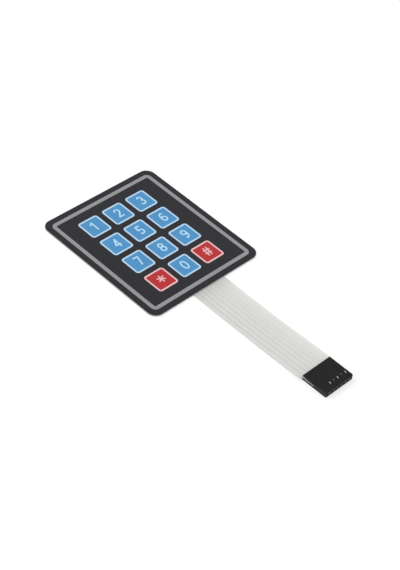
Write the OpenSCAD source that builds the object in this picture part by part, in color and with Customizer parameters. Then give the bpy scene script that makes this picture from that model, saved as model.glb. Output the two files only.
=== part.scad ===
// Membrane keypad: twelve snap-dome keys in a thin stuck-together panel, with a film tail
// and a seven-way socket. Millimetres. The origin is the middle of the panel's rear face,
// +X runs along a key row, +Y up the key columns, and +Z out of the printed face.

/* [Panel] */
// Width of the panel, along the key rows
panel_w = 68.8; // [66:0.2:76]
// Height of the panel, along the key columns
panel_h = 77.2; // [76:0.2:90]
// Radius of the panel's corners
panel_corner_r = 4.8; // [2:0.2:8]

/* [Key print] */
// Distance from key to key, both ways
key_pitch = 15; // [14:0.25:16]
// Width of a printed key, over its white outline
key_size = 11.8; // [9:0.2:13]
// Outer radius of a printed key's corners
key_corner_r = 1.5; // [1:0.1:3]
// Width of the white outline
key_outline_w = 0.85; // [0.3:0.05:0.9]

/* [Border print] */
// Distance from the panel's edge to the grey frame
border_inset = 3.1; // [1:0.1:4]
// Width of the grey frame's line
border_w = 2; // [0.5:0.1:2.4]
// Outer radius of the grey frame's corners
border_corner_r = 2.6; // [2.5:0.1:6]

/* [Layers] */
// Thickness of the peel-off liner
liner_t = 0.1; // [0.05:0.01:0.2]
// Thickness of the adhesive on the back
rear_adhesive_t = 0.13; // [0.05:0.01:0.3]
// Thickness of the circuit film and its tail
circuit_t = 0.125; // [0.075:0.025:0.2]
// Thickness of the printed conductors
trace_t = 0.02; // [0.01:0.005:0.04]
// Thickness of the spacer that holds the domes
spacer_t = 0.3; // [0.2:0.02:0.5]
// Thickness of the adhesive under the overlay
overlay_adhesive_t = 0.05; // [0.03:0.01:0.1]
// Thickness of the printed overlay
overlay_t = 0.2; // [0.1:0.025:0.4]
// Depth of the coloured print in the overlay
print_t = 0.03; // [0.01:0.01:0.06]

/* [Domes] */
// Diameter of a dome over the tips of its legs
dome_d = 8.4; // [7:0.2:10]
// Diameter of a dome's round middle
dome_middle_d = 6; // [4:0.2:6.6]
// Width of a dome's legs
dome_leg_w = 2.6; // [2:0.2:3.4]
// Thickness of a dome's sheet metal
dome_sheet_t = 0.05; // [0.03:0.01:0.07]
// Room between a dome and the wall of its hole
dome_side_clearance = 0.3; // [0.2:0.05:0.6]
// Room between a dome and the layers above and below it
dome_end_clearance = 0.01; // [0.005:0.005:0.02]
// Width of the air channel from dome hole to dome hole
vent_w = 1; // [0.5:0.1:2]

/* [Circuit] */
// Width of a printed conductor
trace_w = 0.9; // [0.6:0.05:1.1]
// Distance from conductor to conductor where they run side by side
lane_pitch = 1.4; // [1.2:0.05:1.45]
// Distance from the panel's lower edge to the lowest conductor
lane_edge = 1.6; // [1:0.1:2]
// Distance from the dome holes to the nearest conductor beside them
lane_gap = 2; // [1:0.1:3]
// Diameter of the pad under a dome's middle
centre_pad_d = 2.4; // [1.6:0.1:3]
// Width of the ring of pads under a dome's legs
ring_pad_w = 1.3; // [0.8:0.1:1.6]
// Room between the column conductor and the pads beside it
pad_clearance = 0.5; // [0.3:0.05:0.8]

/* [Tail] */
// Width of the tail
tail_w = 20; // [17.6:0.2:24]
// Length of the tail from the panel to the housing
tail_l = 66; // [56:1:120]
// Length of the tail's drop from the panel to the surface that it lies on
tail_drop_l = 14; // [8:1:20]
// Length of the tail's rise from that surface to the housing
tail_rise_l = 34; // [20:1:36]
// Thickness of the film over the tail's conductors
cover_t = 0.08; // [0.05:0.01:0.15]
// Room between the cover film and the panel and housing
cover_clearance = 0.3; // [0.1:0.1:1]
// Length of the film's tongue in the housing, which is open at its sides
tongue_l = 6.6; // [5.6:0.2:6.8]
// Distance of the tongue's edges inside the housing's sides
tongue_inset = 0.05; // [0.05:0.05:0.6]

/* [Connector] */
// Distance from pin to pin
pin_pitch = 2.54; // [2.5:0.01:2.6]
// Length of the housing
housing_l = 14; // [13.6:0.2:18]
// Height of the housing
housing_h = 2.6; // [2.5:0.05:3]
// Size of the housing's bevelled front corners
housing_bevel = 0.5; // [0.2:0.1:0.9]
// Thickness of the front wall
front_wall = 0.6; // [0.4:0.1:0.8]
// Depth of the mouth that takes the film
mouth_l = 7; // [6.9:0.1:7.6]
// Room above the contacts' plates in the mouth
mouth_room = 0.6; // [0.1:0.05:0.7]
// Height of the film's underside in the mouth
film_entry_z = 1; // [0.9:0.05:1.05]
// Width of a pin's entry hole
entry_w = 0.85; // [0.75:0.05:1]
// Width of the entry's sloped lead-in at the face
entry_mouth_w = 1.5; // [1.2:0.1:1.7]
// Depth of the entry's sloped lead-in
entry_mouth_l = 0.3; // [0.1:0.05:0.35]
// Width of the wider latch windows
window_w = 1.1; // [0.8:0.05:1.6]
// Width of the narrower latch windows between them
slit_w = 0.5; // [0.4:0.05:0.8]
// Length of the latch windows
window_l = 1.4; // [1.2:0.1:2.2]
// Distance from the housing's nose to the middle of the windows
window_from_nose = 3.6; // [3:0.1:4]

/* [Contacts] */
// Width of a contact's socket box
box_w = 1.9; // [1.6:0.05:2]
// Height of a contact's socket box
box_h = 1.8; // [1.6:0.05:1.85]
// Length of a contact's socket box
box_l = 5.6; // [5:0.1:5.8]
// Thickness of the contact's sheet metal
contact_t = 0.2; // [0.15:0.01:0.22]
// Room between a contact and the housing
contact_clearance = 0.08; // [0.04:0.01:0.1]
// Width of the plate that lies on the conductor
plate_w = 1.7; // [1.5:0.05:1.9]
// Length of the plate that lies on the conductor
plate_l = 5; // [4.4:0.1:5.4]
// Length of a clinched tine along the plate
tine_l = 0.6; // [0.4:0.05:0.8]
// Distance from tine to tine along the plate
tine_pitch = 2.2; // [1.6:0.1:2.6]
// How far a tine is folded in under the film
tine_fold = 0.5; // [0.3:0.05:0.55]
// Room round a tine in the film
tine_clearance = 0.05; // [0.03:0.01:0.1]
// Rise of the latch lance in the window
lance_rise = 0.25; // [0.15:0.01:0.3]
// Width of the latch lance
lance_w = 0.6; // [0.4:0.05:0.65]
// Height of the pin spring above the floor of the socket box
spring_rise = 0.3; // [0.2:0.02:0.34]
// Width of the pin spring
spring_w = 0.9; // [0.6:0.05:1.1]

/* [Hidden] */
$fn = 64;
columns = 3;
rows = 4;
ways = rows + columns;
tail_steps = 40;
dome_fn = 240;
cut = 0.5;
panel_lap = 1;
least_r = 0.1;

key_names = ["1", "2", "3", "4", "5", "6", "7", "8", "9", "star", "0", "hash"];
red_keys = [9, 11];
blue_keys = [0, 1, 2, 3, 4, 5, 6, 7, 8, 10];

rear_adhesive_z = liner_t;
circuit_z = rear_adhesive_z + rear_adhesive_t;
trace_z = circuit_z + circuit_t;
spacer_z = trace_z + trace_t;
overlay_adhesive_z = spacer_z + spacer_t;
overlay_z = overlay_adhesive_z + overlay_adhesive_t;
print_z = overlay_z + overlay_t - print_t;

dome_foot_z = spacer_z + dome_end_clearance;
dome_crown_z = overlay_z - dome_end_clearance;
dome_hollow = dome_crown_z - dome_sheet_t - dome_foot_z;
dome_inner_r = (pow(dome_d / 2, 2) + pow(dome_hollow, 2)) / (2 * dome_hollow);
dome_outer_r = dome_inner_r + dome_sheet_t;
dome_hole_d = dome_d + 2 * dome_side_clearance;
ring_pad_d = dome_d + ring_pad_w / 2;
row_gap = trace_w + 2 * pad_clearance;

panel_edge_y = -panel_h / 2;
housing_rear_y = panel_edge_y - tail_l;
housing_nose_y = housing_rear_y - housing_l;
housing_w = ways * pin_pitch;
tongue_w = housing_w - 2 * tongue_inset;
tongue_end_y = housing_rear_y - tongue_l;
mouth_end_y = housing_rear_y - mouth_l;

cavity_w = box_w + 2 * contact_clearance;
cavity_h = box_h + 2 * contact_clearance;
cavity_z = housing_h / 2 - cavity_h / 2;
box_z = housing_h / 2 - box_h / 2;
box_front_y = housing_nose_y + front_wall + contact_clearance;
box_rear_y = box_front_y + box_l;
plate_z = film_entry_z + circuit_t + trace_t;
plate_front_y = mouth_end_y - contact_clearance;
plate_rear_y = plate_front_y + plate_l;
tine_mid_y = (tongue_end_y + plate_rear_y) / 2;
mouth_z = film_entry_z - contact_t - contact_clearance;
mouth_h = plate_z + contact_t + mouth_room - mouth_z;
window_y = housing_nose_y + window_from_nose;

// Middle of key number i, counted along the rows from the upper left
function key_x(i) = (i % columns - (columns - 1) / 2) * key_pitch;
function key_y(i) = ((rows - 1) / 2 - floor(i / columns)) * key_pitch;

// Middle of way number i across the tail and the connector
function way_x(i) = (i - (ways - 1) / 2) * pin_pitch;

// Width of way number i's latch window: wide and narrow ones take turns
function opening_w(i) = i % 2 == 0 ? window_w : slit_w;

// Lanes of the conductors left of the keys and along the panel's lower edge
function lane_x(i) = key_x(0) - dome_hole_d / 2 - lane_gap - (rows - 1 - i) * lane_pitch;
function lane_y(i) = panel_edge_y + lane_edge + i * lane_pitch;

// A step from 0 to 1 that starts and ends level
function level_step(u) = let (v = min(max(u, 0), 1)) v * v * (3 - 2 * v);

// Height of the tail film's underside at distance d from the panel
function tail_z(d) =
    circuit_z * (1 - level_step(d / tail_drop_l))
    + film_entry_z * level_step((d - tail_l + tail_rise_l) / tail_rise_l);

// Points along the tail, lifted above its underside, from distance a to distance b
function tail_line(lift, a, b) = [
    for (i = [0 : tail_steps])
        let (d = a + (b - a) * i / tail_steps)
        [panel_edge_y - d, tail_z(d) + lift]
];

// The same along the whole film, from inside the panel to the tongue's end
function film_line(lift) = concat(
    [[panel_edge_y + panel_lap, circuit_z + lift]],
    tail_line(lift, 0, tail_l),
    [[tongue_end_y, film_entry_z + lift]]
);
function reversed(list) = [for (i = [len(list) - 1 : -1 : 0]) list[i]];

// Flat shape helpers

module rounded_rect(w, h, r) {
    square([w - 2 * r, h], center = true);
    square([w, h - 2 * r], center = true);
    for (x = [-1, 1], y = [-1, 1])
        translate([x * (w / 2 - r), y * (h / 2 - r)])
            circle(r);
}

module panel_shape() {
    rounded_rect(panel_w, panel_h, panel_corner_r);
}

module key_shape() {
    rounded_rect(key_size, key_size, key_corner_r);
}

module key_field_shape() {
    field = key_size - 2 * key_outline_w;
    rounded_rect(field, field, max(key_corner_r - key_outline_w, least_r));
}

module border_shape() {
    w = panel_w - 2 * border_inset;
    h = panel_h - 2 * border_inset;
    difference() {
        rounded_rect(w, h, border_corner_r);
        rounded_rect(w - 2 * border_w, h - 2 * border_w, max(border_corner_r - border_w, least_r));
    }
}

module at_keys(list) {
    for (i = list)
        translate([key_x(i), key_y(i)])
            children();
}

module layer(z, t) {
    translate([0, 0, z])
        linear_extrude(t)
            children();
}

// A solid with an outline drawn in Y and Z, carried across X and centred on x
module across(x, w) {
    translate([x - w / 2, 0, 0])
        rotate([90, 0, 90])
            linear_extrude(w)
                children();
}

// A block between two corners
module block(low, high) {
    translate(low)
        cube(high - low);
}

// A strip that follows the film from inside the panel to the tongue's end
module film_strip(x, w, lift, t) {
    across(x, w)
        polygon(concat(film_line(lift), reversed(film_line(lift + t))));
}

// Printed panel

module graphic_overlay() {
    color("#36373b")
        difference() {
            layer(overlay_z, overlay_t) panel_shape();
            layer(print_z, print_t + cut) border_shape();
            layer(print_z, print_t + cut) at_keys([0 : rows * columns - 1]) key_shape();
        }
}

module border_print() {
    color("#969699")
        layer(print_z, print_t) border_shape();
}

module key_outline_print() {
    color("#f2f4f6")
        layer(print_z, print_t)
            at_keys([0 : rows * columns - 1])
                difference() {
                    key_shape();
                    key_field_shape();
                }
}

module blue_key_print() {
    color("#4f96c8")
        layer(print_z, print_t) at_keys(blue_keys) key_field_shape();
}

module red_key_print() {
    color("#b83338")
        layer(print_z, print_t) at_keys(red_keys) key_field_shape();
}

// Dome holes with the air channels between them
module dome_openings() {
    at_keys([0 : rows * columns - 1])
        circle(d = dome_hole_d);
    for (i = [0 : rows - 1])
        translate([0, key_y(i * columns)])
            square([(columns - 1) * key_pitch, vent_w], center = true);
}

module overlay_adhesive() {
    color("#d8d8cc")
        layer(overlay_adhesive_z, overlay_adhesive_t)
            difference() {
                panel_shape();
                at_keys([0 : rows * columns - 1]) circle(d = dome_hole_d);
            }
}

module dome_spacer() {
    color("#e6e8e4")
        layer(spacer_z, spacer_t)
            difference() {
                panel_shape();
                dome_openings();
            }
}

module rear_adhesive() {
    color("#d9d3b8")
        layer(rear_adhesive_z, rear_adhesive_t) panel_shape();
}

module release_liner() {
    color("#efe9d6")
        layer(0, liner_t) panel_shape();
}

// Snap domes

module dome_outline() {
    circle(d = dome_middle_d);
    intersection() {
        circle(d = dome_d);
        for (a = [45, -45])
            rotate(a)
                square([dome_d, dome_leg_w], center = true);
    }
}

// A four-legged piece of a thin spherical cap
module dome(i) {
    color("#c9ccd0")
        translate([key_x(i), key_y(i), 0])
            intersection() {
                layer(dome_foot_z - cut, dome_hollow + dome_sheet_t + 2 * cut) dome_outline();
                translate([0, 0, dome_crown_z - dome_outer_r])
                    difference() {
                        sphere(dome_outer_r, $fn = dome_fn);
                        sphere(dome_inner_r, $fn = dome_fn);
                    }
            }
}

// Printed circuit

// A conductor along points that turn by right angles
module trace_path(points) {
    for (i = [1 : len(points) - 1]) {
        a = points[i - 1];
        b = points[i];
        size = [abs(a.x - b.x) + trace_w, abs(a.y - b.y) + trace_w];
        translate((a + b) / 2)
            square(size, center = true);
    }
}

// The pad under the two legs on one side of a dome, -1 for the left and 1 for the right
module ring_pad(side) {
    intersection() {
        difference() {
            circle(d = ring_pad_d);
            circle(d = ring_pad_d - 2 * ring_pad_w);
        }
        translate([side * (row_gap + ring_pad_d) / 2, 0])
            square(ring_pad_d, center = true);
    }
}

// A row: left to right through every dome, then round the keys to its way of the tail
module row_trace(r) {
    y = key_y(r * columns);
    pad_x = ring_pad_d / 2 - ring_pad_w / 2;
    first_x = key_x(0) - pad_x;
    end_y = panel_edge_y + trace_w / 2;
    color("#c4c6c4") {
        layer(trace_z, trace_t) {
            for (c = [0 : columns - 1], side = [-1, 1])
                translate([key_x(c), y])
                    ring_pad(side);
            for (c = [1 : columns - 1])
                trace_path([[key_x(c - 1) + pad_x, y], [key_x(c) - pad_x, y]]);
            trace_path([
                [first_x, y], [lane_x(r), y], [lane_x(r), lane_y(r)],
                [way_x(r), lane_y(r)], [way_x(r), end_y]
            ]);
        }
        film_strip(way_x(r), trace_w, circuit_t, trace_t);
    }
}

// A column: down through the middle pads, then across to its way of the tail
module column_trace(c) {
    way = rows + c;
    lane = lane_y(rows + (c == 1 ? 1 : 0));
    end_y = panel_edge_y + trace_w / 2;
    color("#c4c6c4") {
        layer(trace_z, trace_t) {
            for (r = [0 : rows - 1])
                translate([key_x(c), key_y(r * columns)])
                    circle(d = centre_pad_d);
            trace_path([
                [key_x(c), key_y(0)], [key_x(c), lane],
                [way_x(way), lane], [way_x(way), end_y]
            ]);
        }
        film_strip(way_x(way), trace_w, circuit_t, trace_t);
    }
}

// Places of the tines of one contact
module at_tines(way) {
    for (side = [-1, 1], step = [-0.5, 0.5])
        translate([way_x(way) + side * (plate_w - contact_t) / 2, tine_mid_y + step * tine_pitch, 0])
            children();
}

// The circuit film: panel, tail and the tongue that the contacts pierce
module circuit_film() {
    color("#dcdcd6")
        difference() {
            union() {
                layer(circuit_z, circuit_t) panel_shape();
                film_strip(0, tail_w, 0, circuit_t);
            }
            for (side = [-1, 1])
                translate([side * (tongue_w + tail_w) / 2, housing_rear_y - tongue_l, film_entry_z])
                    cube([tail_w, 2 * tongue_l, 2 * cut], center = true);
            for (way = [0 : ways - 1])
                at_tines(way)
                    translate([0, 0, film_entry_z + circuit_t / 2])
                        cube([contact_t + 2 * tine_clearance, tine_l + 2 * tine_clearance, circuit_t + cut],
                             center = true);
        }
}

module tail_cover_film() {
    first = cover_clearance;
    last = tail_l - cover_clearance;
    low = circuit_t + trace_t;
    color("#e4e4df")
        across(0, tail_w)
            polygon(concat(
                tail_line(low, first, last),
                reversed(tail_line(low + cover_t, first, last))
            ));
}

// Connector

// A pin's entry: a square hole with a sloped lead-in at the nose
module pin_entry() {
    rotate([90, 0, 0]) {
        translate([0, 0, -front_wall - cut])
            linear_extrude(front_wall + 2 * cut)
                square(entry_w, center = true);
        translate([0, 0, -entry_mouth_l])
            linear_extrude(entry_mouth_l, scale = entry_mouth_w / entry_w)
                square(entry_w, center = true);
    }
}

module connector_housing() {
    half_w = housing_w / 2;
    outline = [
        [-half_w, housing_rear_y], [-half_w, housing_nose_y + housing_bevel],
        [-half_w + housing_bevel, housing_nose_y], [half_w - housing_bevel, housing_nose_y],
        [half_w, housing_nose_y + housing_bevel], [half_w, housing_rear_y]
    ];
    color("#2a2a2b")
        difference() {
            layer(0, housing_h) polygon(outline);
            block([-half_w - cut, mouth_end_y, mouth_z],
                  [half_w + cut, housing_rear_y + cut, mouth_z + mouth_h]);
            for (way = [0 : ways - 1]) {
                x = way_x(way);
                block([x - cavity_w / 2, housing_nose_y + front_wall, cavity_z],
                      [x + cavity_w / 2, mouth_end_y + cut, cavity_z + cavity_h]);
                translate([x, housing_nose_y, housing_h / 2])
                    pin_entry();
                block([x - opening_w(way) / 2, window_y - window_l / 2, housing_h / 2],
                      [x + opening_w(way) / 2, window_y + window_l / 2, housing_h + cut]);
            }
        }
}

// A stamped contact: clinched plate, neck, socket box, latch lance and pin spring
module contact(way) {
    x = way_x(way);
    box_top_z = box_z + box_h;
    floor_z = box_z + contact_t;
    lance_front_y = window_y - window_l / 2 + contact_clearance;
    lance_rear_y = window_y + window_l / 2 - contact_clearance;
    spring_end_y = box_rear_y - contact_t;
    spring_mid_y = (box_front_y + spring_end_y) / 2;
    spring_z = floor_z + spring_rise;
    color("#d2cfc6") {
        block([x - plate_w / 2, plate_front_y, plate_z],
              [x + plate_w / 2, plate_rear_y, plate_z + contact_t]);
        at_tines(way)
            translate([0, 0, (film_entry_z - contact_t + plate_z) / 2])
                cube([contact_t, tine_l, plate_z - film_entry_z + contact_t], center = true);
        for (side = [-1, 1], step = [-0.5, 0.5])
            translate([x + side * (plate_w - tine_fold) / 2, tine_mid_y + step * tine_pitch,
                       film_entry_z - contact_t / 2])
                cube([tine_fold, tine_l, contact_t], center = true);
        across(x, plate_w)
            polygon([
                [plate_front_y, plate_z], [plate_front_y, plate_z + contact_t],
                [box_rear_y, box_top_z], [box_rear_y, box_top_z - contact_t]
            ]);
        difference() {
            block([x - box_w / 2, box_front_y, box_z], [x + box_w / 2, box_rear_y, box_top_z]);
            block([x - box_w / 2 + contact_t, box_front_y - cut, floor_z],
                  [x + box_w / 2 - contact_t, box_rear_y + cut, box_top_z - contact_t]);
        }
        across(x, min(lance_w, opening_w(way) - 2 * contact_clearance))
            polygon([
                [lance_front_y, box_top_z], [lance_rear_y, box_top_z + lance_rise], [lance_rear_y, box_top_z]
            ]);
        across(x, spring_w)
            polygon([
                [box_front_y, floor_z], [spring_mid_y, spring_z], [spring_end_y, floor_z],
                [spring_end_y, floor_z - contact_t / 2], [box_front_y, floor_z - contact_t / 2]
            ]);
    }
}

graphic_overlay();
border_print();
key_outline_print();
blue_key_print();
red_key_print();
overlay_adhesive();
dome_spacer();
for (i = [0 : len(key_names) - 1])
    dome(i);
for (r = [1 : rows])
    row_trace(r - 1);
for (c = [1 : columns])
    column_trace(c - 1);
circuit_film();
tail_cover_film();
rear_adhesive();
release_liner();
connector_housing();
for (way = [1 : ways])
    contact(way - 1);
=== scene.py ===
"""Looks of a twelve-key membrane keypad: printed film, film tail and seven-way socket.

Lengths are in metres, in the part's own frame: +X along a key row, +Y up the columns, +Z out
of the printed face. Flat drawings of the print are worked out in millimetres.
"""

import math

import bmesh
import bpy
import numpy as np
from mathutils import Matrix, Vector
from mathutils.geometry import delaunay_2d_cdt

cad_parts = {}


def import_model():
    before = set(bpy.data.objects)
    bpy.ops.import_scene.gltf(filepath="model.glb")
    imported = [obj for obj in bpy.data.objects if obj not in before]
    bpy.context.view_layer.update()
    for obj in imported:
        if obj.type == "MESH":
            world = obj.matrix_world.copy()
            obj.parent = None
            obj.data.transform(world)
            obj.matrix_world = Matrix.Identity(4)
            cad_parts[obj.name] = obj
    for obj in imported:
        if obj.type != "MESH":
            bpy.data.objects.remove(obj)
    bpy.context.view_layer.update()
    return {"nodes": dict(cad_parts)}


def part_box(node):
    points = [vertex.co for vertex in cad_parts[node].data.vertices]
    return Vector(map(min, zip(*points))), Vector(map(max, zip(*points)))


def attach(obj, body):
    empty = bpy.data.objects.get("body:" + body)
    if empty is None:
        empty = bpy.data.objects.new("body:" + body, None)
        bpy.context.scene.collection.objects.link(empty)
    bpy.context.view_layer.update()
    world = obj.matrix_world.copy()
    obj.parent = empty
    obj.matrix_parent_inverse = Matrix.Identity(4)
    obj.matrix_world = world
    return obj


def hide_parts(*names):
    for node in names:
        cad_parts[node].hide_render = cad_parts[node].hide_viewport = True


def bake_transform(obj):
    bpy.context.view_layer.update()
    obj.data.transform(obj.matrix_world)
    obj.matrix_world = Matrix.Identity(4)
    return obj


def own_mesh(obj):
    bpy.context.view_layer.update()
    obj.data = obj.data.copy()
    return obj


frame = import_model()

MM = 0.001

# Key names in reading order, and the keys that are printed red
KEYS = ["1", "2", "3", "4", "5", "6", "7", "8", "9", "star", "0", "hash"]
RED_KEYS = ["star", "hash"]
COLUMNS, ROWS = 3, 4

# Print of the panel, in millimetres
PANEL_CORNER_R = 4.8
BORDER_W = 2.0
BORDER_CORNER_R = 2.6
KEY_CORNER_R = 1.5
FIELD_CORNER_R = 0.65
EDGE_R = 0.05

# Material numbers on the black film and on a key
BLACK, GREY = range(2)
OUTLINE, FIELD, NUMERAL = range(3)

# Film over a dome, in millimetres: how far it stands up, and out to which radius
CROWN_H = 0.03
CROWN_R = 4.5

# Numerals, in millimetres: height, stroke, and how far they stand off the keys' middles
NUMERAL_H = 5.8
STROKE_W = 0.78
NUMERAL_SHIFT = np.array([0.35, 0.25])

# A whole turn in degrees, with a little overlap that closes the stroke
ALL_ROUND = 375

# Steps of the meshes: along one key's side, over half a corner arc, from a key's middle out, round
# the black film's edge, across that film from the keys to the border, and across a narrow band
SIDE_STEPS = 24
KEY_ARC_STEPS = 5
PANEL_ARC_STEPS = 12
FIELD_RINGS = 12
EDGE_STEPS = 5
MARGIN_STEPS = 3
BAND_STEPS = 2

# Limits of the mesh work: edges this steep stay sharp, and what is this close or flat is one,
# in degrees, metres for points of a node and millimetres for the print and the housing's faces
SHARP_DEG = 30
FLAT_DEG = 0.5
NODE_WELD = 1e-7
PRINT_WELD = 1e-5
IN_FACE = 0.002

# The kind of net that keeps the triangles inside the drawn faces
INSIDE_FACES = 1

# Tail, in metres: its path as the circuit film runs, and the layers on it
TAIL_DROP_L = 0.014
TAIL_RISE_L = 0.034
FILM_ENTRY_Z = 0.001
FILM_T = 0.125 * MM
TRACE_T = 0.02 * MM
COVER_T = 0.08 * MM
COVER_CLEARANCE = 0.3 * MM
PIN_PITCH = 2.54 * MM
TRACE_W = 0.9 * MM
TRACE_SHOULDER = 0.25 * MM
TAIL_STEPS = 132
COVER_STEPS = 200
WAYS = 7
# Ways whose contacts are painted dark: painted shade where their windows show no glint
PAINTED_DARK_WAYS = (1, 2)

# Look of the tail's film: its margin to +X, made lighter by painted light, the lines of the
# conductors with the shares of the pitch over which they fade in and out and how faint they get,
# and how far and how much painted shade greys it at the panel
PAINTED_LIGHT_MARGIN = (4 * MM, 10 * MM)
PAINTED_LIGHT_SHADE = 1.11
LINE_SHADE = 0.88
LINE_FADE_IN = 0.03
LINE_FADE_OUT = 0.05
FAINT_LINE = 0.25
PAINTED_SHADE_L = 12 * MM
PAINTED_SHADE_SHARE = 0.5
PAINTED_SHADE_TONE = 0.5

# Softened edge of the housing, and the shares of a normal above which a face counts as slanted
# to an axis and below which it counts as upright
HOUSING_EDGE = 0.07 * MM
SLANT = 0.3
UPRIGHT = 0.1

# Shine of the printed film and of the housing's top, and the painted sheen that lightens its sides
FILM_SHEEN = 0.21
TOP_SHEEN = 0.14
PAINTED_SIDE_SHEEN = 0.33

# Camera: the view of the photograph, 400 by 570 pixels, in degrees and metres, with its sensor in
# millimetres and the nearest and farthest things that it shows
PHOTO_LONG_SIDE = 570
FOCAL_PX = 1500
SENSOR = 36
CAMERA_AZIMUTH = -51.46
CAMERA_ELEVATION = 43.67
CAMERA_ROLL = 9.389
CAMERA_DISTANCE = 0.6842
CAMERA_AIM = Vector((-0.0027, -0.03555, 0))
NEAREST, FARTHEST = 0.01, 10

# Light, and the floor in metres
WORLD_LIGHT = 0.62
FLOOR_ALBEDO = 0.45
FLOOR_LIFT = 0.6
FLOOR_DEPTH = 0.02 * MM
FLOOR_SIZE = 3.0


# Sizes from the frame

def node_box(name):
    """Lowest and highest corner of a node, in millimetres."""
    low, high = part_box(name)
    return np.array(low) / MM, np.array(high) / MM


panel_low, panel_high = node_box("graphic_overlay")
border_low, border_high = node_box("border_print")
outline_low, outline_high = node_box("key_outline_print")
field_low, field_high = node_box("blue_key_print")
cover_low, cover_high = node_box("tail_cover_film")
housing_low, housing_high = node_box("connector_housing")
dome_boxes = {key: node_box("dome_" + key) for key in KEYS}
key_middle = {key: (low[:2] + high[:2]) / 2 for key, (low, high) in dome_boxes.items()}

top_z = panel_high[2]
film_z = panel_low[2]
panel_w, panel_h = (panel_high - panel_low)[:2]
border_out_w, border_out_h = (border_high - border_low)[:2]
key_pitch = key_middle["2"][0] - key_middle["1"][0]
key_size = outline_high[0] - outline_low[0] - (COLUMNS - 1) * key_pitch
field_size = field_high[0] - field_low[0] - (COLUMNS - 1) * key_pitch
panel_edge_y = panel_low[1] * MM
tail_l = panel_edge_y - housing_high[1] * MM
circuit_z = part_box("rear_adhesive")[1].z


# Mesh building

def placed(name, data):
    """A new object at the origin, put into the scene."""
    piece = bpy.data.objects.new(name, data)
    bpy.context.scene.collection.objects.link(piece)
    return piece


def mesh_values(items, name, width=1, kind=float):
    """A property of all of a mesh's points, edges, corners or faces as an array, one row each."""
    values = np.empty(width * len(items), kind)
    items.foreach_get(name, values)
    return values.reshape(-1, width) if width > 1 else values


def new_piece(name, points, faces, materials, slots=None):
    """A mesh object at the origin from arrays: points, faces and each face's material number."""
    mesh = bpy.data.meshes.new(name)
    mesh.from_pydata(np.asarray(points).tolist(), [], [list(face) for face in faces])
    for material in materials:
        mesh.materials.append(material)
    if slots is not None:
        mesh.polygons.foreach_set("material_index", np.asarray(slots, np.int32))
    mesh.polygons.foreach_set("use_smooth", np.ones(len(mesh.polygons), bool))
    mesh.set_sharp_from_angle(angle=math.radians(SHARP_DEG))
    sharpen_rim(mesh)
    return placed(name, mesh)


def sharpen_rim(mesh):
    """Makes the edges that bound an open sheet sharp, so that its thickness gets a crisp edge."""
    edge_of_corner = mesh_values(mesh.loops, "edge_index", kind=np.int32)
    sharp = mesh_values(mesh.edges, "use_edge_sharp", kind=bool)
    sharp |= np.bincount(edge_of_corner, minlength=len(sharp)) == 1
    mesh.edges.foreach_set("use_edge_sharp", sharp)


def square_loop(width, height, steps_x, steps_y):
    """Closed loop round a rectangle from its lower left, counter-clockwise, evenly stepped."""
    x = np.linspace(-width / 2, width / 2, steps_x, endpoint=False)
    y = np.linspace(-height / 2, height / 2, steps_y, endpoint=False)
    half_h, half_w = np.full(steps_x, height / 2), np.full(steps_y, width / 2)
    sides = [(x, -half_h), (half_w, y), (-x, half_h), (-half_w, -y)]
    return np.concatenate([np.stack(side, 1) for side in sides])


def rounded_loop(width, height, radius, steps_x, steps_y, arc_steps):
    """Closed loop of a rectangle with round corners, counter-clockwise.

    It starts in the middle of the lower left arc. Each side has half an arc, a straight and half
    an arc: the corner's middle plus the radius times the direction of the turning angle, and even
    steps between the two arcs.
    """
    half_corner = np.pi / 4
    turn = half_corner * np.arange(arc_steps) / arc_steps
    sides = []
    for side, (length, across, steps) in enumerate(
        [(width, height, steps_x), (height, width, steps_y)] * 2
    ):
        reach, depth = length / 2 - radius, across / 2 - radius
        angle = turn + half_corner
        first = np.stack([-reach - radius * np.cos(angle), -depth - radius * np.sin(angle)], 1)
        run = np.linspace(-reach, reach, steps - 2 * arc_steps, endpoint=False)
        straight = np.stack([run, np.full_like(run, -across / 2)], 1)
        last = np.stack([reach + radius * np.sin(turn), -depth - radius * np.cos(turn)], 1)
        points = np.concatenate([first, straight, last])
        c, s = [(1, 0), (0, 1), (-1, 0), (0, -1)][side]
        sides.append(points @ np.array([[c, s], [-s, c]]))
    return np.concatenate(sides)


def at_height(loop, z):
    """A flat loop as points at a height."""
    return np.concatenate([loop, np.full((len(loop), 1), z)], 1)


def loft(inner, outer, steps):
    """Loops from inner to outer: a straight mix of the two, point by point."""
    share = np.linspace(0, 1, steps + 1)[:, None, None]
    return inner * (1 - share) + outer * share


def band(loops):
    """Points and quads of a stack of loops: one parameter runs round them and one across them."""
    rings, around = loops.shape[:2]
    i, j = np.meshgrid(np.arange(rings - 1), np.arange(around), indexing="ij")
    k = (j + 1) % around
    here, there = i * around, (i + 1) * around
    quads = np.stack([here + j, there + j, there + k, here + k], -1)
    return loops.reshape(-1, loops.shape[2]), quads.reshape(-1, 4)


def joined(parts):
    """Several bands as one, each (points, faces, slot): points closer than the weld become one."""
    shift = np.cumsum([0] + [len(points) for points, _, _ in parts[:-1]])
    points = np.concatenate([points for points, _, _ in parts])
    faces = np.concatenate([faces + start for (_, faces, _), start in zip(parts, shift)])
    slots = np.concatenate([np.full(len(faces), slot) for _, faces, slot in parts])
    cells = np.round(points / PRINT_WELD).astype(np.int64)
    _, first, index = np.unique(cells, axis=0, return_index=True, return_inverse=True)
    return points[first], index.reshape(-1)[faces], slots


# Materials

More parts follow.
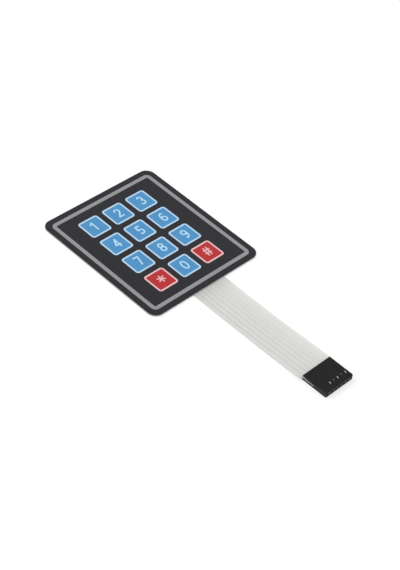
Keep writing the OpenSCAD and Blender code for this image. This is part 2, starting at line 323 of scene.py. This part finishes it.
class Finish:
    """A material on one Principled shader, with short calls for the nodes that vary it."""

    def __init__(self, name, **sockets):
        self.material = bpy.data.materials.new(name)
        self.material.use_nodes = True
        self.tree = self.material.node_tree
        self.shader = self.tree.nodes["Principled BSDF"]
        self.place = self.tree.nodes.new("ShaderNodeTexCoord").outputs["Object"]
        for socket, value in sockets.items():
            self.shader.inputs[socket.replace("_", " ")].default_value = value

    def node(self, kind, **values):
        """A new node with its settings."""
        made = self.tree.nodes.new(kind)
        for name, value in values.items():
            setattr(made, name, value)
        return made

    def link(self, a, b):
        """Joins an output to an input."""
        self.tree.links.new(a, b)

    def noise(self, size, detail=2, stretch=(1, 1, 1), roughness=0.5):
        """Noise whose grains are about size across, in metres, drawn out by stretch."""
        place = self.node("ShaderNodeMapping")
        place.inputs["Scale"].default_value = [1 / (size * s) for s in stretch]
        self.link(self.place, place.inputs["Vector"])
        grain = self.node("ShaderNodeTexNoise")
        grain.inputs["Scale"].default_value = 1.0
        grain.inputs["Detail"].default_value = detail
        grain.inputs["Roughness"].default_value = roughness
        self.link(place.outputs["Vector"], grain.inputs["Vector"])
        return grain.outputs["Fac"]

    def ranged(self, value, low=0, high=1, from_low=0.3, from_high=0.7):
        """A value brought from one range to another: noise runs from about 0.3 to 0.7."""
        scale = self.node("ShaderNodeMapRange")
        ends = {"From Min": from_low, "From Max": from_high, "To Min": low, "To Max": high}
        for name, number in ends.items():
            scale.inputs[name].default_value = number
        self.link(value, scale.inputs["Value"])
        return scale.outputs["Result"]

    def maths(self, operation, a, b=None):
        """One step of arithmetic on sockets or numbers."""
        step = self.node("ShaderNodeMath", operation=operation)
        for socket, value in zip(step.inputs, (a, b)):
            if isinstance(value, (int, float)):
                socket.default_value = value
            elif value is not None:
                self.link(value, socket)
        return step.outputs["Value"]

    def mix(self, share, a, b):
        """A colour between two, each a plain colour or a socket."""
        blend = self.node("ShaderNodeMix", data_type="RGBA")
        self.link(share, blend.inputs[0])
        colours = [socket for socket in blend.inputs if socket.type == "RGBA"]
        for socket, value in zip(colours, (a, b)):
            if isinstance(value, tuple):
                socket.default_value = (*value, 1)
            else:
                self.link(value, socket)
        return [socket for socket in blend.outputs if socket.type == "RGBA"][0]

    def colour(self, value):
        """Colours the surface."""
        self.link(value, self.shader.inputs["Base Color"])

    def rough(self, noise, low, high):
        """Makes the surface rough, from low to high as the noise goes up."""
        self.link(self.ranged(noise, low, high), self.shader.inputs["Roughness"])

    def bump(self, height, depth, strength):
        """Relief of a given depth, in metres."""
        relief = self.node("ShaderNodeBump")
        relief.inputs["Strength"].default_value = strength
        relief.inputs["Distance"].default_value = depth
        self.link(height, relief.inputs["Height"])
        self.link(relief.outputs["Normal"], self.shader.inputs["Normal"])


def shade(colour, factor):
    """A colour made lighter or darker."""
    return tuple(channel * factor for channel in colour)


def printed_film(name, colour, spread):
    """Matt textured film over a print: fine even grain, and a print that is a little uneven."""
    finish = Finish(name, IOR=1.5, Specular_IOR_Level=FILM_SHEEN)
    cloud = finish.noise(size=9 * MM)
    grain = finish.noise(size=0.16 * MM, roughness=0.6)
    dark, light = shade(colour, 1 - spread), shade(colour, 1 + spread)
    darkest = shade(colour, 1 - 2.5 * spread)
    even = finish.mix(finish.ranged(cloud), dark, light)
    finish.colour(finish.mix(finish.ranged(grain, high=0.35), even, darkest))
    finish.rough(grain, low=0.46, high=0.58)
    finish.bump(grain, depth=0.004 * MM, strength=0.7)
    return finish.material


def conductor_lines(finish, across):
    """How much a conductor shows at a place across the tail, 0 to 1, and fainter to +X.

    Half a pitch added, the whole pitches taken off and half a pitch taken off again give the
    distance from the nearest line.
    """
    pitches = finish.maths("ADD", finish.maths("DIVIDE", across, PIN_PITCH), 0.5)
    part_pitch = finish.maths("FRACT", pitches)
    from_line = finish.maths("ABSOLUTE", finish.maths("SUBTRACT", part_pitch, 0.5))
    edge = TRACE_W / 2 / PIN_PITCH
    on_line = finish.ranged(from_line, 1, 0, edge - LINE_FADE_IN, edge + LINE_FADE_OUT)
    half_w = WAYS / 2 * PIN_PITCH
    inside = finish.maths("LESS_THAN", finish.maths("ABSOLUTE", across), half_w)
    fade = finish.ranged(across, 1, FAINT_LINE, -half_w / 2, half_w / 2)
    return finish.maths("MULTIPLY", on_line, finish.maths("MULTIPLY", inside, fade))


def milky_film(name, colour, lines):
    """Milky satin film with faint streaks: painted light to +X, painted shade by the dark panel.

    Where it covers the conductors, they show through as lines, more so to -X.
    """
    finish = Finish(name, IOR=1.55, Specular_IOR_Level=0.4)
    streak = finish.noise(size=0.5 * MM, stretch=(1, 60, 1))
    cloud = finish.noise(size=7 * MM)
    tone = finish.mix(finish.ranged(streak), shade(colour, 0.98), shade(colour, 1.02))
    tone = finish.mix(finish.ranged(cloud, high=0.5), tone, shade(colour, 0.96))
    place = finish.node("ShaderNodeSeparateXYZ")
    finish.link(finish.place, place.inputs["Vector"])
    across, along = place.outputs["X"], place.outputs["Y"]
    # Painted light: the film is made lighter towards +X, as on a film tilted to the light
    tone = finish.mix(finish.ranged(across, 0, 1, *PAINTED_LIGHT_MARGIN), tone, shade(colour, PAINTED_LIGHT_SHADE))
    if lines:
        tone = finish.mix(conductor_lines(finish, across), tone, shade(colour, LINE_SHADE))
    # Painted shade: the film is made greyer towards the panel's edge, as the panel's shadow
    painted_shade_near_panel = finish.ranged(along, 0, 1, panel_edge_y - PAINTED_SHADE_L, panel_edge_y)
    grey = finish.maths("MULTIPLY", finish.maths("POWER", painted_shade_near_panel, 2), PAINTED_SHADE_SHARE)
    finish.colour(finish.mix(grey, tone, shade(colour, PAINTED_SHADE_TONE)))
    finish.rough(streak, low=0.30, high=0.44)
    finish.bump(streak, depth=0.002 * MM, strength=0.5)
    return finish.material


def clear_layer(name, colour):
    """A clear layer between films, as its edge shows it: pale and a little cloudy."""
    finish = Finish(name, IOR=1.48, Specular_IOR_Level=0.4)
    cloud = finish.noise(size=1.2 * MM, detail=3)
    finish.colour(finish.mix(finish.ranged(cloud), shade(colour, 0.9), shade(colour, 1.06)))
    finish.rough(cloud, low=0.3, high=0.5)
    finish.bump(cloud, depth=0.01 * MM, strength=0.3)
    return finish.material


def coated_paper(name, colour):
    """Coated liner paper: short fibres in a smooth sheet, faintly mottled."""
    finish = Finish(name, IOR=1.46, Specular_IOR_Level=0.35)
    fibre = finish.noise(size=0.22 * MM, detail=4, stretch=(3, 1, 1), roughness=0.65)
    mottle = finish.noise(size=4 * MM, detail=3)
    tone = finish.mix(finish.ranged(mottle), shade(colour, 0.965), shade(colour, 1.02))
    finish.colour(finish.mix(finish.ranged(fibre, high=0.4), tone, shade(colour, 0.88)))
    finish.rough(mottle, low=0.42, high=0.56)
    finish.bump(fibre, depth=0.006 * MM, strength=0.5)
    return finish.material


def moulded_plastic(name, colour, sheen):
    """Black moulded plastic: a fine spark-eroded skin that is a little glossier in places."""
    finish = Finish(name, IOR=1.5, Specular_IOR_Level=sheen)
    skin = finish.noise(size=0.11 * MM, detail=3, roughness=0.6)
    flow = finish.noise(size=2.5 * MM, stretch=(1, 4, 1))
    tone = finish.mix(finish.ranged(flow), shade(colour, 0.85), shade(colour, 1.2))
    finish.colour(finish.mix(finish.ranged(skin, high=0.3), tone, shade(colour, 1.6)))
    finish.rough(flow, low=0.42, high=0.56)
    finish.bump(skin, depth=0.006 * MM, strength=0.6)
    return finish.material


def sheet_metal(name, colour, along, rough_low, rough_high):
    """Rolled sheet metal: fine lines along the rolling direction and a soft change of tone."""
    finish = Finish(name, Metallic=1.0)
    stretch = [1, 1, 1]
    stretch[along] = 25
    lines = finish.noise(size=0.05 * MM, stretch=stretch)
    cloud = finish.noise(size=1.5 * MM)
    tone = finish.mix(finish.ranged(lines), shade(colour, 0.9), shade(colour, 1.05))
    finish.colour(finish.mix(finish.ranged(cloud, high=0.5), tone, shade(colour, 0.84)))
    finish.rough(lines, rough_low, rough_high)
    finish.bump(lines, depth=0.002 * MM, strength=0.5)
    return finish.material


def silver_print(name, colour):
    """Screen-printed silver: dull flakes in a binder, with the grain of the mesh."""
    finish = Finish(name, Metallic=0.55, IOR=1.5)
    flake = finish.noise(size=0.06 * MM, roughness=0.7)
    finish.colour(finish.mix(finish.ranged(flake), shade(colour, 0.82), shade(colour, 1.12)))
    finish.rough(flake, low=0.4, high=0.62)
    finish.bump(flake, depth=0.004 * MM, strength=0.6)
    return finish.material


# Colours that two finishes share, and how uneven the prints are
MILKY = (0.694, 0.687, 0.659)
HOUSING_BLACK = (0.0058, 0.0058, 0.0060)
BLACK_SPREAD = 0.05
PRINT_SPREAD = 0.02
WHITE_SPREAD = 0.012

# Inks: the white print is thin, so it takes a tint of its key's colour
black_film = printed_film("black_film", (0.0125, 0.0127, 0.0172), BLACK_SPREAD)
grey_ink = printed_film("grey_ink", (0.285, 0.287, 0.300), PRINT_SPREAD)
blue_ink = printed_film("blue_ink", (0.075, 0.282, 0.544), PRINT_SPREAD)
red_ink = printed_film("red_ink", (0.468, 0.0258, 0.0295), PRINT_SPREAD)
blue_outline = printed_film("blue_outline", (0.49, 0.69, 0.87), WHITE_SPREAD)
red_outline = printed_film("red_outline", (0.80, 0.53, 0.55), WHITE_SPREAD)
blue_numeral = printed_film("blue_numeral", (0.47, 0.72, 0.92), WHITE_SPREAD)
red_numeral = printed_film("red_numeral", (0.80, 0.45, 0.47), WHITE_SPREAD)
blue_key_inks = [blue_outline, blue_ink, blue_numeral]
red_key_inks = [red_outline, red_ink, red_numeral]

# Films, paper, plastic and metal
circuit_finish = milky_film("circuit_film", MILKY, lines=False)
cover_finish = milky_film("cover_film", MILKY, lines=True)
adhesive_finish = clear_layer("clear_adhesive", (0.62, 0.60, 0.52))
spacer_finish = clear_layer("spacer_film", (0.66, 0.67, 0.65))
paper_finish = coated_paper("liner_paper", (0.74, 0.70, 0.59))
housing_finish = moulded_plastic("housing_plastic", HOUSING_BLACK, TOP_SHEEN)
# Painted sheen: a shinier copy of the plastic for the upright faces, so they render lighter than
# the top
housing_painted_sheen_finish = moulded_plastic("housing_painted_sheen_plastic", HOUSING_BLACK, PAINTED_SIDE_SHEEN)
contact_finish = sheet_metal(
    "contact_metal", (0.27, 0.266, 0.253), along=1, rough_low=0.30, rough_high=0.45
)
# Painted shade: a dark copy of the contact metal, for the ways whose windows show no glint
painted_dark_contact_finish = sheet_metal(
    "painted_dark_contact_metal", (0.05, 0.049, 0.046), along=1, rough_low=0.40, rough_high=0.55
)
dome_finish = sheet_metal(
    "dome_steel", (0.60, 0.60, 0.61), along=0, rough_low=0.24, rough_high=0.38
)
silver_finish = silver_print("silver_ink", (0.56, 0.56, 0.54))


# Printed panel

key_steps = (SIDE_STEPS, SIDE_STEPS, KEY_ARC_STEPS)
cell_loop = square_loop(key_pitch, key_pitch, SIDE_STEPS, SIDE_STEPS)
key_loop = rounded_loop(key_size, key_size, KEY_CORNER_R, *key_steps)
field_loop = rounded_loop(field_size, field_size, FIELD_CORNER_R, *key_steps)
panel_steps = (COLUMNS * SIDE_STEPS, ROWS * SIDE_STEPS)
keys_loop = square_loop(COLUMNS * key_pitch, ROWS * key_pitch, *panel_steps)


def panel_loop(width, height, radius):
    """A rounded loop of the panel with the same steps as the loop round all the keys."""
    return rounded_loop(width, height, radius, *panel_steps, PANEL_ARC_STEPS)


def black_face(z):
    """One flat face of the black film: bands round the key openings, the border and the edge."""
    in_w, in_h = border_out_w - 2 * BORDER_W, border_out_h - 2 * BORDER_W
    border_in = panel_loop(in_w, in_h, BORDER_CORNER_R - BORDER_W)
    border_out = panel_loop(border_out_w, border_out_h, BORDER_CORNER_R)
    edge = panel_loop(panel_w - 2 * EDGE_R, panel_h - 2 * EDGE_R, PANEL_CORNER_R - EDGE_R)
    bands = [
        (key_loop + middle, cell_loop + middle, BAND_STEPS, BLACK)
        for middle in key_middle.values()
    ]
    bands += [
        (keys_loop, border_in, MARGIN_STEPS, BLACK),
        (border_in, border_out, BAND_STEPS, GREY),
        (border_out, edge, BAND_STEPS, BLACK),
    ]
    return [
        (*band(loft(at_height(inner, z), at_height(outer, z), steps)), slot)
        for inner, outer, steps, slot in bands
    ]


def panel_rim():
    """The black film's outer edge: a quarter round from the top face, then straight down."""
    turn = np.radians(np.linspace(0, 90, EDGE_STEPS + 1))
    inset = np.append(EDGE_R * (1 - np.sin(turn)), [0.0, EDGE_R])
    height = np.append(top_z - EDGE_R * (1 - np.cos(turn)), [film_z, film_z])
    loops = [
        at_height(panel_loop(panel_w - 2 * d, panel_h - 2 * d, PANEL_CORNER_R - d), z)
        for d, z in zip(inset, height)
    ]
    return (*band(np.array(loops)), BLACK)


def key_walls(middle):
    """The wall of a key's opening in the black film."""
    loops = [at_height(key_loop + middle, z) for z in (film_z, top_z)]
    return (*band(np.array(loops)), BLACK)


def overlay_sheet():
    """The black film with its grey border and twelve key openings, closed all round."""
    under = [(points, faces[:, ::-1], BLACK) for points, faces, _ in black_face(film_z)]
    walls = [key_walls(middle) for middle in key_middle.values()]
    points, faces, slots = joined([*black_face(top_z), panel_rim(), *under, *walls])
    piece = new_piece("overlay_sheet", points * MM, faces, [black_film, grey_ink], slots)
    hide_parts("graphic_overlay", "border_print")
    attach(piece, "panel")


# Numerals and signs, drawn as strokes in a box one high

half_stroke = STROKE_W / NUMERAL_H / 2
top, base = 1 - half_stroke, half_stroke
BOX_MIDDLE = np.array([0.31, 0.5])


def points_between(a, b, steps=8):
    """Even points on the straight from a to b."""
    share = np.linspace(0, 1, steps + 1)[:, None]
    return np.array(a) * (1 - share) + np.array(b) * share


def points_round(middle, reach, start, end, steps=28):
    """Points on an ellipse between two angles in degrees.

    Each is the middle plus the two reaches times cosine and sine.
    """
    turn = np.radians(np.linspace(start, end, steps + 1))
    return np.array(middle) + np.stack([reach[0] * np.cos(turn), reach[1] * np.sin(turn)], 1)


def stroke(path):
    """Both edges of a stroke along a path, mitred where the path turns.

    Each point of the path is moved half the stroke to either side.
    """
    step = np.diff(path, axis=0)
    square = np.stack([-step[:, 1], step[:, 0]], 1) / np.linalg.norm(step, axis=1, keepdims=True)
    before, after = np.concatenate([square[:1], square]), np.concatenate([square, square[-1:]])
    side = half_stroke * (before + after) / (1 + (before * after).sum(1, keepdims=True))
    return np.stack([path + side, path - side], 1)


def bar(a, b):
    """Straight stroke with square ends."""
    return stroke(points_between(a, b))


def bend(middle, reach, start, end):
    """Stroke along an ellipse."""
    return stroke(points_round(middle, reach, start, end))


def slant(a, b, cut):
    """Straight stroke with its ends cut along X (0) or Y (1): both edges lie off it that way."""
    path = points_between(a, b)
    span = path[-1] - path[0]
    side = np.zeros(2)
    side[cut] = half_stroke * np.hypot(*span) / abs(span[1 - cut])
    return np.stack([path + side, path - side], 1)


def spoke(middle, reach, angle):
    """Straight stroke through a middle, at an angle in degrees."""
    end = reach * np.array([math.cos(math.radians(angle)), math.sin(math.radians(angle))])
    return bar(middle - end, middle + end)


two_bow = points_round((0.30, 0.70), (0.22, top - 0.70), 170, -35)
six = [
    bend((0.31, 0.30), (0.225, 0.30 - base), 0, ALL_ROUND),
    bend((0.35, 0.36), (0.265, top - 0.36), 180, 58),
]
GLYPHS = {
    "1": [bar((0.28, 0), (0.28, 1)), slant((0.01, 0.74), (0.28, 0.955), 1)],
    "2": [
        stroke(np.concatenate([two_bow, points_between(two_bow[-1], (0.10, base + 0.02))[1:]])),
        bar((0.03, base), (0.59, base)),
    ],
    "3": [
        bend((0.28, 0.725), (0.20, top - 0.725), 155, -92),
        bend((0.28, 0.30), (0.235, 0.30 - base), 92, -155),
    ],
    "4": [
        bar((0.43, 0), (0.43, 1)),
        bar((0.02, 0.29), (0.60, 0.29)),
        bar((0.43, 0.97), (0.08, 0.29)),
    ],
    "5": [
        bar((0.09, top), (0.54, top)),
        slant((0.160, 1), (0.115, 0.46), 0),
        bend((0.285, 0.305), (0.235, 0.305 - base), 138, -150),
    ],
    "6": six,
    "7": [bar((0.05, top), (0.56, top)), slant((0.547, 1), (0.28, 0), 0)],
    "8": [
        bend((0.31, 0.725), (0.19, top - 0.725), 90, 90 + ALL_ROUND),
        bend((0.31, 0.30), (0.225, 0.30 - base), 90, 90 + ALL_ROUND),
    ],
    "9": [2 * BOX_MIDDLE - edges for edges in six],
    "star": [spoke(BOX_MIDDLE, 0.38, angle) for angle in (90, 30, 150)],
    "0": [bend(BOX_MIDDLE, (0.235, 0.5 - base), 0, ALL_ROUND)],
    "hash": [
        slant((0.22, 0.97), (0.12, 0.03), 0), slant((0.50, 0.97), (0.40, 0.03), 0),
        bar((-0.03, 0.34), (0.62, 0.34)), bar((0.00, 0.66), (0.65, 0.66)),
    ],
}


def numeral(key):
    """The strokes of a key's numeral about its middle, in millimetres, each (points, quads)."""
    strips = []
    for edges in GLYPHS[key]:
        i = 2 * np.arange(len(edges) - 1)
        points = (edges.reshape(-1, 2) - BOX_MIDDLE) * NUMERAL_H + NUMERAL_SHIFT
        strips.append((points, np.stack([i, i + 1, i + 3, i + 2], 1)))
    return strips


# Key faces

def crown(points):
    """Height of the film over a dome.

    The crown's height times the square of one less the squared share of its radius.
    """
    share = np.clip((points ** 2).sum(1) / CROWN_R ** 2, 0, 1)
    return CROWN_H * (1 - share) ** 2


def key_print(key):
    """A key's print, flat and about its middle: field, white outline and numeral in one net.

    The rings are the field's loop drawn in towards the middle, and the net is cut along the
    numeral's ribbons. Returns points, triangles and each triangle's material number.
    """
    share = np.arange(1, FIELD_RINGS + 1)[:, None, None] / FIELD_RINGS
    rings = np.concatenate([share * field_loop, loft(field_loop, key_loop, BAND_STEPS)[1:]])
    points, quads = band(rings)
    around = len(field_loop)
    field_quads = (FIELD_RINGS - 1) * around
    ring = np.arange(around)
    fan = np.stack([np.full(around, len(points)), ring, (ring + 1) % around], 1)
    points = np.concatenate([points, [[0, 0]]])
    faces = [*quads.tolist(), *fan.tolist()]
    first_stroke = len(faces)
    for stroke_points, stroke_quads in numeral(key):
        faces += (stroke_quads + len(points)).tolist()
        points = np.concatenate([points, stroke_points])
    corners = [Vector(p) for p in points]
    net, _, triangles, _, _, source = delaunay_2d_cdt(
        corners, [], faces, INSIDE_FACES, PRINT_WELD
    )
    inks = [
        NUMERAL if max(found) >= first_stroke
        else OUTLINE if field_quads <= min(found) < len(quads)
        else FIELD
        for found in source
    ]
    return np.array([tuple(p) for p in net]), triangles, inks


def key_face(key):
    """One key's film, crowned over its dome, with the thickness of the overlay."""
    middle = key_middle[key]
    points, triangles, inks = key_print(key)
    raised = np.column_stack([points + middle, top_z + crown(points)])
    key_inks = red_key_inks if key in RED_KEYS else blue_key_inks
    piece = new_piece("key_face_" + key, raised * MM, triangles, key_inks, inks)
    film = piece.modifiers.new("film", "SOLIDIFY")
    film.thickness = (top_z - film_z) * MM
    film.offset = -1
    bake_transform(piece)
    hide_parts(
        "key_outline_print", "red_key_print" if key in RED_KEYS else "blue_key_print"
    )


def merged_copy(node, name, material, smooth=True):
    """A node's mesh as a new piece, with its triangles merged into whole flat faces.

    The normals that came with the node no longer fit those faces, so they go.
    """
    net = bmesh.new()
    net.from_mesh(frame["nodes"][node].data)
    bmesh.ops.remove_doubles(net, verts=net.verts, dist=NODE_WELD)
    flat = math.radians(FLAT_DEG)
    bmesh.ops.dissolve_limit(net, angle_limit=flat, verts=net.verts, edges=net.edges)
    mesh = bpy.data.meshes.new(name)
    net.to_mesh(mesh)
    net.free()
    node_normals = mesh.attributes.get("custom_normal")
    if node_normals:
        mesh.attributes.remove(node_normals)
    mesh.materials.clear()
    mesh.materials.append(material)
    mesh.polygons.foreach_set("material_index", np.zeros(len(mesh.polygons), np.int32))
    mesh.set_sharp_from_angle(angle=math.radians(SHARP_DEG))
    mesh.polygons.foreach_set("use_smooth", np.full(len(mesh.polygons), smooth))
    piece = placed(name, mesh)
    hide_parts(node)
    return piece


def snap_dome(key):
    """A dome on its key's body, with a mesh of its own."""
    piece = merged_copy("dome_" + key, "snap_dome_" + key, dome_finish)
    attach(piece, "key_" + key)
    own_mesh(piece)


# Tail

def level_step(u):
    """A step from 0 to 1 that starts and ends level: 3 u squared less 2 u cubed."""
    v = np.clip(u, 0, 1)
    return v * v * (3 - 2 * v)


def tail_height(d):
    """Height of the circuit film's underside at distance d from the panel.

    A level step down to the surface, and a level step up to the housing at the far end.
    """
    drop = circuit_z * (1 - level_step(d / TAIL_DROP_L))
    return drop + FILM_ENTRY_Z * level_step((d - tail_l + TAIL_RISE_L) / TAIL_RISE_L)


def over_trace(x):
    """How far x lies on a conductor, 0 to 1, with a soft shoulder on both sides."""
    from_line = np.abs((x / PIN_PITCH + 0.5) % 1 - 0.5) * PIN_PITCH
    on_line = 1 - level_step((from_line - TRACE_W / 2) / TRACE_SHOULDER)
    return on_line * (np.abs(x) < WAYS / 2 * PIN_PITCH)


def tail_cover():
    """The cover film: a section with a low ridge over each conductor, along the tail's path."""
    half_w = (cover_high[0] - cover_low[0]) / 2 * MM
    x = np.linspace(-half_w, half_w, COVER_STEPS + 1)
    ridge = FILM_T + TRACE_T * over_trace(x)
    section = np.concatenate([np.stack([x, ridge + COVER_T], 1), np.stack([x, ridge], 1)[::-1]])
    d = np.linspace(COVER_CLEARANCE, tail_l - COVER_CLEARANCE, TAIL_STEPS + 1)
    loops = np.empty((len(d), len(section), 3))
    loops[:, :, 0] = section[:, 0]
    loops[:, :, 1] = panel_edge_y - d[:, None]
    loops[:, :, 2] = tail_height(d)[:, None] + section[:, 1]
    points, quads = band(loops)
    j = np.arange(COVER_STEPS)
    opposite = len(section) - 1 - j
    first_cap = np.stack([j, j + 1, opposite - 1, opposite], 1)
    last_cap = first_cap[:, ::-1] + (len(d) - 1) * len(section)
    faces = np.concatenate([quads, first_cap, last_cap])
    piece = new_piece("tail_cover", points, faces, [cover_finish])
    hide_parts("tail_cover_film")
    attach(piece, "panel")


# Connector

def outer_edges(mesh):
    """Which of the housing's sharp edges lie in its top, its underside or its two sides."""
    sharp = mesh_values(mesh.edges, "use_edge_sharp", kind=bool)
    spots = mesh_values(mesh.vertices, "co", width=3) / MM
    ends = spots[mesh_values(mesh.edges, "vertices", width=2, kind=np.int32)]
    in_face = np.stack([
        np.isclose(ends[:, :, axis], corner[axis], atol=IN_FACE).all(1)
        for corner in (housing_low, housing_high) for axis in (0, 2)
    ])
    return sharp & in_face.any(0)


def upright_faces(mesh):
    """Which of the housing's faces stand upright outside: its sides, ends and cut corners."""
    normals = abs(mesh_values(mesh.polygons, "normal", width=3))
    middles = mesh_values(mesh.polygons, "center", width=3)[:, :2] / MM
    low, high = housing_low[:2], housing_high[:2]
    in_side = np.isclose(middles, low, atol=IN_FACE) | np.isclose(middles, high, atol=IN_FACE)
    cut_corner = (normals[:, 0] > SLANT) & (normals[:, 1] > SLANT)
    return (normals[:, 2] < UPRIGHT) & (in_side.any(1) | cut_corner)


def housing():
    """The socket's housing: softened outer edges, and a painted sheen on its upright faces."""
    piece = merged_copy("connector_housing", "housing", housing_finish, smooth=False)
    # Painted sheen on the upright faces
    piece.data.materials.append(housing_painted_sheen_finish)
    piece.data.polygons.foreach_set("material_index", upright_faces(piece.data).astype(np.int32))
    weights = piece.data.attributes.new("bevel_weight_edge", "FLOAT", "EDGE")
    weights.data.foreach_set("value", outer_edges(piece.data).astype(np.float32))
    edge = piece.modifiers.new("edge", "BEVEL")
    edge.width = HOUSING_EDGE
    edge.segments = 2
    edge.limit_method = "WEIGHT"
    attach(piece, "panel")


def dress(node, material):
    """Gives a node that stays as it is its finish."""
    mesh = frame["nodes"][node].data
    mesh.materials.clear()
    mesh.materials.append(material)


overlay_sheet()
for key in KEYS:
    key_face(key)
    snap_dome(key)
tail_cover()
housing()
dress("overlay_adhesive", adhesive_finish)
dress("dome_spacer", spacer_finish)
dress("circuit_film", circuit_finish)
dress("rear_adhesive", adhesive_finish)
dress("release_liner", paper_finish)
for row in range(1, ROWS + 1):
    dress("row_%d_trace" % row, silver_finish)
for column in range(1, COLUMNS + 1):
    dress("column_%d_trace" % column, silver_finish)
for way in range(1, WAYS + 1):
    dress("contact_%d" % way, painted_dark_contact_finish if way in PAINTED_DARK_WAYS else contact_finish)


# Floor, light and camera

def seen_directly(tree):
    """1 for rays from the camera, a reflection or through glass, 0 for rays that light things."""
    path = tree.nodes.new("ShaderNodeLightPath")
    value = path.outputs["Is Camera Ray"]
    for name in ("Is Glossy Ray", "Is Transmission Ray"):
        either = tree.nodes.new("ShaderNodeMath")
        either.operation = "MAXIMUM"
        tree.links.new(value, either.inputs[0])
        tree.links.new(path.outputs[name], either.inputs[1])
        value = either.outputs["Value"]
    return value


def floor():
    """A plain white floor: matt, so it takes the shadow, and lifted to white where it is seen."""
    reach = FLOOR_SIZE / 2
    corners = [(-reach, -reach), (reach, -reach), (reach, reach), (-reach, reach)]
    mesh = bpy.data.meshes.new("floor")
    mesh.from_pydata([(x, y, -FLOOR_DEPTH) for x, y in corners], [], [(0, 1, 2, 3)])
    piece = placed("floor", mesh)
    material = bpy.data.materials.new("floor_white")
    material.use_nodes = True
    tree = material.node_tree
    tree.nodes.clear()
    matt = tree.nodes.new("ShaderNodeBsdfDiffuse")
    matt.inputs["Color"].default_value = (FLOOR_ALBEDO, FLOOR_ALBEDO, FLOOR_ALBEDO, 1)
    lift = tree.nodes.new("ShaderNodeEmission")
    scale = tree.nodes.new("ShaderNodeMath")
    scale.operation = "MULTIPLY"
    scale.inputs[1].default_value = FLOOR_LIFT
    tree.links.new(seen_directly(tree), scale.inputs[0])
    tree.links.new(scale.outputs["Value"], lift.inputs["Strength"])
    both = tree.nodes.new("ShaderNodeAddShader")
    tree.links.new(matt.outputs["BSDF"], both.inputs[0])
    tree.links.new(lift.outputs["Emission"], both.inputs[1])
    out = tree.nodes.new("ShaderNodeOutputMaterial")
    tree.links.new(both.outputs["Shader"], out.inputs["Surface"])
    mesh.materials.append(material)


def world():
    """Even white surroundings: full white where they are seen, softer where they light things."""
    made = bpy.data.worlds.new("studio")
    made.use_nodes = True
    bpy.context.scene.world = made
    tree = made.node_tree
    background = tree.nodes["Background"]
    background.inputs["Color"].default_value = (1, 1, 1, 1)
    level = tree.nodes.new("ShaderNodeMapRange")
    level.inputs["To Min"].default_value = WORLD_LIGHT
    level.inputs["To Max"].default_value = 1
    tree.links.new(seen_directly(tree), level.inputs["Value"])
    tree.links.new(level.outputs["Result"], background.inputs["Strength"])


def towards(azimuth, elevation):
    """Direction from the part to an azimuth and an elevation, both in degrees."""
    a, e = math.radians(azimuth), math.radians(elevation)
    return Vector((math.sin(a) * math.cos(e), -math.cos(a) * math.cos(e), math.sin(e)))


def lamp(name, azimuth, elevation, distance, size, power):
    """A soft square lamp that looks at the part from a direction in degrees."""
    data = bpy.data.lights.new(name, "AREA")
    data.size = size
    data.energy = power
    piece = placed(name, data)
    back = towards(azimuth, elevation)
    piece.location = CAMERA_AIM + back * distance
    piece.rotation_mode = "QUATERNION"
    piece.rotation_quaternion = (-back).to_track_quat("-Z", "Y")


def camera():
    """The photograph's view: round the aim point by azimuth and elevation, then rolled."""
    data = bpy.data.cameras.new("camera")
    data.sensor_width = SENSOR
    data.lens = FOCAL_PX * SENSOR / PHOTO_LONG_SIDE
    data.clip_start, data.clip_end = NEAREST, FARTHEST
    piece = placed("camera", data)
    back = towards(CAMERA_AZIMUTH, CAMERA_ELEVATION)
    level = towards(CAMERA_AZIMUTH + 90, 0)
    right = Matrix.Rotation(math.radians(CAMERA_ROLL), 3, back) @ level
    up = back.cross(right)
    place = Matrix((right, up, back)).transposed().to_4x4()
    place.translation = CAMERA_AIM + back * CAMERA_DISTANCE
    piece.matrix_world = place
    bpy.context.scene.camera = piece


floor()
world()
lamp("main_lamp", azimuth=-150, elevation=42, distance=2.4, size=1.6, power=29)
lamp("fill_lamp", azimuth=60, elevation=50, distance=2.4, size=2.0, power=8)
camera()
bpy.context.scene.view_settings.view_transform = "Standard"
